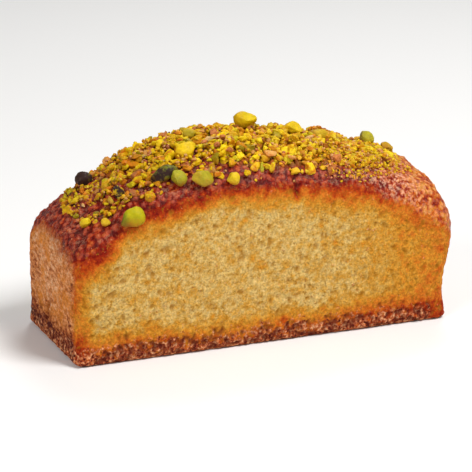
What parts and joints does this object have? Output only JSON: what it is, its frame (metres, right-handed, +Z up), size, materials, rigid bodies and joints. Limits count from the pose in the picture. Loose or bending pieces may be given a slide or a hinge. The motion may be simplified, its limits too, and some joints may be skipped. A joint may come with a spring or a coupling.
{
  "type": "financier cake",
  "caption": "Small loaf-shaped almond cake with a domed browned top, rounded shoulders and a flat underside, with chopped pistachio stuck along the top.",
  "frame": {"origin": "middle of the flat underside, on the surface that the cake stands on", "axes": "+X along the long side, towards the end that swells out, +Y across the loaf, +Z up out of the domed top"},
  "size_m": [0.1023, 0.0407, 0.0535],
  "materials": {
    "almond_cake": "open, matt baked crumb, browned and lightly glazed at the ends and over the top",
    "pistachio": "chopped pistachio kernels, yellow-green and slightly oily"
  },
  "bodies": {
    "root": {"financier_cake": "almond_cake"}
  },
  "joints": []
}
